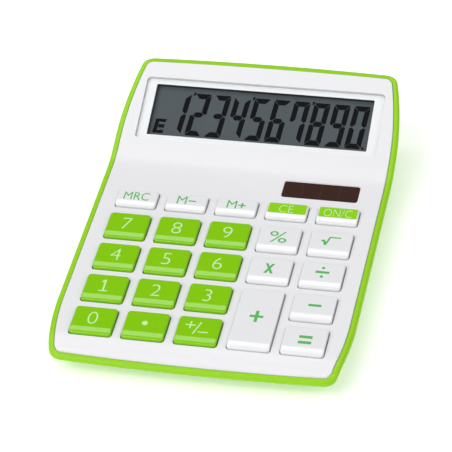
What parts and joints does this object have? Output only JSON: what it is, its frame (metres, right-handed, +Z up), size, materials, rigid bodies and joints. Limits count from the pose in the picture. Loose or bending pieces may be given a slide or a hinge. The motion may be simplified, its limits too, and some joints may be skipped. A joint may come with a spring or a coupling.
{
  "type": "desk calculator",
  "caption": "Desk calculator: wedge case with green rim and white cover, raised sloping display, solar strip, push keys on a rubber dome sheet, button cell behind a sliding door.",
  "frame": {"origin": "middle of the footprint's box, on the surface that the rubber feet stand on", "axes": "+X to the user's right, +Y from the user towards the display, +Z up"},
  "size_m": [0.1062, 0.1473, 0.029],
  "materials": {
    "green_case": "satin moulded",
    "white_cover": "satin moulded",
    "green_key": "glossy moulded",
    "white_key": "glossy moulded",
    "clear_lens": "clear polished",
    "lcd_glass": "grey polarised",
    "reflector_foil": "brushed foil",
    "black_plastic": "satin",
    "ribbon_film": "film",
    "solar_glass": "dark brown amorphous cell",
    "black_foam": "foam",
    "keypad_silicone": "translucent grey",
    "circuit_board": "solder mask",
    "black_epoxy": "potted",
    "capacitor_sleeve": "shrink sleeve",
    "nickel_steel": "nickel plated",
    "foot_rubber": "matt",
    "red_wire": "insulation",
    "black_wire": "insulation"
  },
  "bodies": {
    "housing": {"bottom_case": "green_case", "top_cover": "white_cover", "display_lens": "clear_lens", "lcd_front_glass": "lcd_glass", "lcd_rear_glass": "lcd_glass", "lcd_reflector": "reflector_foil", "lcd_frame": "black_plastic", "lcd_ribbon": "ribbon_film", "solar_window": "clear_lens", "solar_cell": "solar_glass", "solar_pad": "black_foam", "keypad_rubber": "keypad_silicone", "keypad_board": "circuit_board", "controller_chip": "black_epoxy", "capacitor": "capacitor_sleeve", "battery_cell": "nickel_steel", "battery_contact_positive": "nickel_steel", "battery_contact_negative": "nickel_steel", "case_screw_left": "nickel_steel", "case_screw_right": "nickel_steel", "rubber_foot_front_left": "foot_rubber", "rubber_foot_front_right": "foot_rubber", "rubber_foot_back_left": "foot_rubber", "rubber_foot_back_right": "foot_rubber", "solar_wire_positive": "red_wire", "solar_wire_negative": "black_wire", "battery_wire_positive": "red_wire", "battery_wire_negative": "black_wire"},
    "key_memory_recall": {"key_memory_recall": "white_key"},
    "key_memory_minus": {"key_memory_minus": "white_key"},
    "key_memory_plus": {"key_memory_plus": "white_key"},
    "key_clear_entry": {"key_clear_entry": "white_key"},
    "key_on_clear": {"key_on_clear": "white_key"},
    "key_7": {"key_7": "green_key"},
    "key_8": {"key_8": "green_key"},
    "key_9": {"key_9": "green_key"},
    "key_percent": {"key_percent": "white_key"},
    "key_root": {"key_root": "white_key"},
    "key_4": {"key_4": "green_key"},
    "key_5": {"key_5": "green_key"},
    "key_6": {"key_6": "green_key"},
    "key_multiply": {"key_multiply": "white_key"},
    "key_divide": {"key_divide": "white_key"},
    "key_1": {"key_1": "green_key"},
    "key_2": {"key_2": "green_key"},
    "key_3": {"key_3": "green_key"},
    "key_plus": {"key_plus": "white_key"},
    "key_minus": {"key_minus": "white_key"},
    "key_0": {"key_0": "green_key"},
    "key_point": {"key_point": "green_key"},
    "key_sign": {"key_sign": "green_key"},
    "key_equals": {"key_equals": "white_key"},
    "battery_door": {"battery_door": "green_case"}
  },
  "joints": [
    {"name": "key_memory_recall_press", "type": "slide", "parent": "housing", "child": "key_memory_recall", "axis": [0, 0.0262, -0.9997], "range_m": [0, 0.0012], "stiffness_N_per_m": 400, "springref_m": -0.0005, "deforming": ["keypad_rubber"]},
    {"name": "key_memory_minus_press", "type": "slide", "parent": "housing", "child": "key_memory_minus", "axis": [0, 0.0262, -0.9997], "range_m": [0, 0.0012], "stiffness_N_per_m": 400, "springref_m": -0.0005, "deforming": ["keypad_rubber"]},
    {"name": "key_memory_plus_press", "type": "slide", "parent": "housing", "child": "key_memory_plus", "axis": [0, 0.0262, -0.9997], "range_m": [0, 0.0012], "stiffness_N_per_m": 400, "springref_m": -0.0005, "deforming": ["keypad_rubber"]},
    {"name": "key_clear_entry_press", "type": "slide", "parent": "housing", "child": "key_clear_entry", "axis": [0, 0.0262, -0.9997], "range_m": [0, 0.0012], "stiffness_N_per_m": 400, "springref_m": -0.0005, "deforming": ["keypad_rubber"]},
    {"name": "key_on_clear_press", "type": "slide", "parent": "housing", "child": "key_on_clear", "axis": [0, 0.0262, -0.9997], "range_m": [0, 0.0012], "stiffness_N_per_m": 400, "springref_m": -0.0005, "deforming": ["keypad_rubber"]},
    {"name": "key_7_press", "type": "slide", "parent": "housing", "child": "key_7", "axis": [0, 0.0262, -0.9997], "range_m": [0, 0.0012], "stiffness_N_per_m": 400, "springref_m": -0.0005, "deforming": ["keypad_rubber"]},
    {"name": "key_8_press", "type": "slide", "parent": "housing", "child": "key_8", "axis": [0, 0.0262, -0.9997], "range_m": [0, 0.0012], "stiffness_N_per_m": 400, "springref_m": -0.0005, "deforming": ["keypad_rubber"]},
    {"name": "key_9_press", "type": "slide", "parent": "housing", "child": "key_9", "axis": [0, 0.0262, -0.9997], "range_m": [0, 0.0012], "stiffness_N_per_m": 400, "springref_m": -0.0005, "deforming": ["keypad_rubber"]},
    {"name": "key_percent_press", "type": "slide", "parent": "housing", "child": "key_percent", "axis": [0, 0.0262, -0.9997], "range_m": [0, 0.0012], "stiffness_N_per_m": 400, "springref_m": -0.0005, "deforming": ["keypad_rubber"]},
    {"name": "key_root_press", "type": "slide", "parent": "housing", "child": "key_root", "axis": [0, 0.0262, -0.9997], "range_m": [0, 0.0012], "stiffness_N_per_m": 400, "springref_m": -0.0005, "deforming": ["keypad_rubber"]},
    {"name": "key_4_press", "type": "slide", "parent": "housing", "child": "key_4", "axis": [0, 0.0262, -0.9997], "range_m": [0, 0.0012], "stiffness_N_per_m": 400, "springref_m": -0.0005, "deforming": ["keypad_rubber"]},
    {"name": "key_5_press", "type": "slide", "parent": "housing", "child": "key_5", "axis": [0, 0.0262, -0.9997], "range_m": [0, 0.0012], "stiffness_N_per_m": 400, "springref_m": -0.0005, "deforming": ["keypad_rubber"]},
    {"name": "key_6_press", "type": "slide", "parent": "housing", "child": "key_6", "axis": [0, 0.0262, -0.9997], "range_m": [0, 0.0012], "stiffness_N_per_m": 400, "springref_m": -0.0005, "deforming": ["keypad_rubber"]},
    {"name": "key_multiply_press", "type": "slide", "parent": "housing", "child": "key_multiply", "axis": [0, 0.0262, -0.9997], "range_m": [0, 0.0012], "stiffness_N_per_m": 400, "springref_m": -0.0005, "deforming": ["keypad_rubber"]},
    {"name": "key_divide_press", "type": "slide", "parent": "housing", "child": "key_divide", "axis": [0, 0.0262, -0.9997], "range_m": [0, 0.0012], "stiffness_N_per_m": 400, "springref_m": -0.0005, "deforming": ["keypad_rubber"]},
    {"name": "key_1_press", "type": "slide", "parent": "housing", "child": "key_1", "axis": [0, 0.0262, -0.9997], "range_m": [0, 0.0012], "stiffness_N_per_m": 400, "springref_m": -0.0005, "deforming": ["keypad_rubber"]},
    {"name": "key_2_press", "type": "slide", "parent": "housing", "child": "key_2", "axis": [0, 0.0262, -0.9997], "range_m": [0, 0.0012], "stiffness_N_per_m": 400, "springref_m": -0.0005, "deforming": ["keypad_rubber"]},
    {"name": "key_3_press", "type": "slide", "parent": "housing", "child": "key_3", "axis": [0, 0.0262, -0.9997], "range_m": [0, 0.0012], "stiffness_N_per_m": 400, "springref_m": -0.0005, "deforming": ["keypad_rubber"]},
    {"name": "key_plus_press", "type": "slide", "parent": "housing", "child": "key_plus", "axis": [0, 0.0262, -0.9997], "range_m": [0, 0.0012], "stiffness_N_per_m": 400, "springref_m": -0.0005, "deforming": ["keypad_rubber"]},
    {"name": "key_minus_press", "type": "slide", "parent": "housing", "child": "key_minus", "axis": [0, 0.0262, -0.9997], "range_m": [0, 0.0012], "stiffness_N_per_m": 400, "springref_m": -0.0005, "deforming": ["keypad_rubber"]},
    {"name": "key_0_press", "type": "slide", "parent": "housing", "child": "key_0", "axis": [0, 0.0262, -0.9997], "range_m": [0, 0.0012], "stiffness_N_per_m": 400, "springref_m": -0.0005, "deforming": ["keypad_rubber"]},
    {"name": "key_point_press", "type": "slide", "parent": "housing", "child": "key_point", "axis": [0, 0.0262, -0.9997], "range_m": [0, 0.0012], "stiffness_N_per_m": 400, "springref_m": -0.0005, "deforming": ["keypad_rubber"]},
    {"name": "key_sign_press", "type": "slide", "parent": "housing", "child": "key_sign", "axis": [0, 0.0262, -0.9997], "range_m": [0, 0.0012], "stiffness_N_per_m": 400, "springref_m": -0.0005, "deforming": ["keypad_rubber"]},
    {"name": "key_equals_press", "type": "slide", "parent": "housing", "child": "key_equals", "axis": [0, 0.0262, -0.9997], "range_m": [0, 0.0012], "stiffness_N_per_m": 400, "springref_m": -0.0005, "deforming": ["keypad_rubber"]},
    {"name": "battery_door_slide", "type": "slide", "parent": "housing", "child": "battery_door", "axis": [0, 1, 0], "range_m": [0, 0.027]}
  ]
}
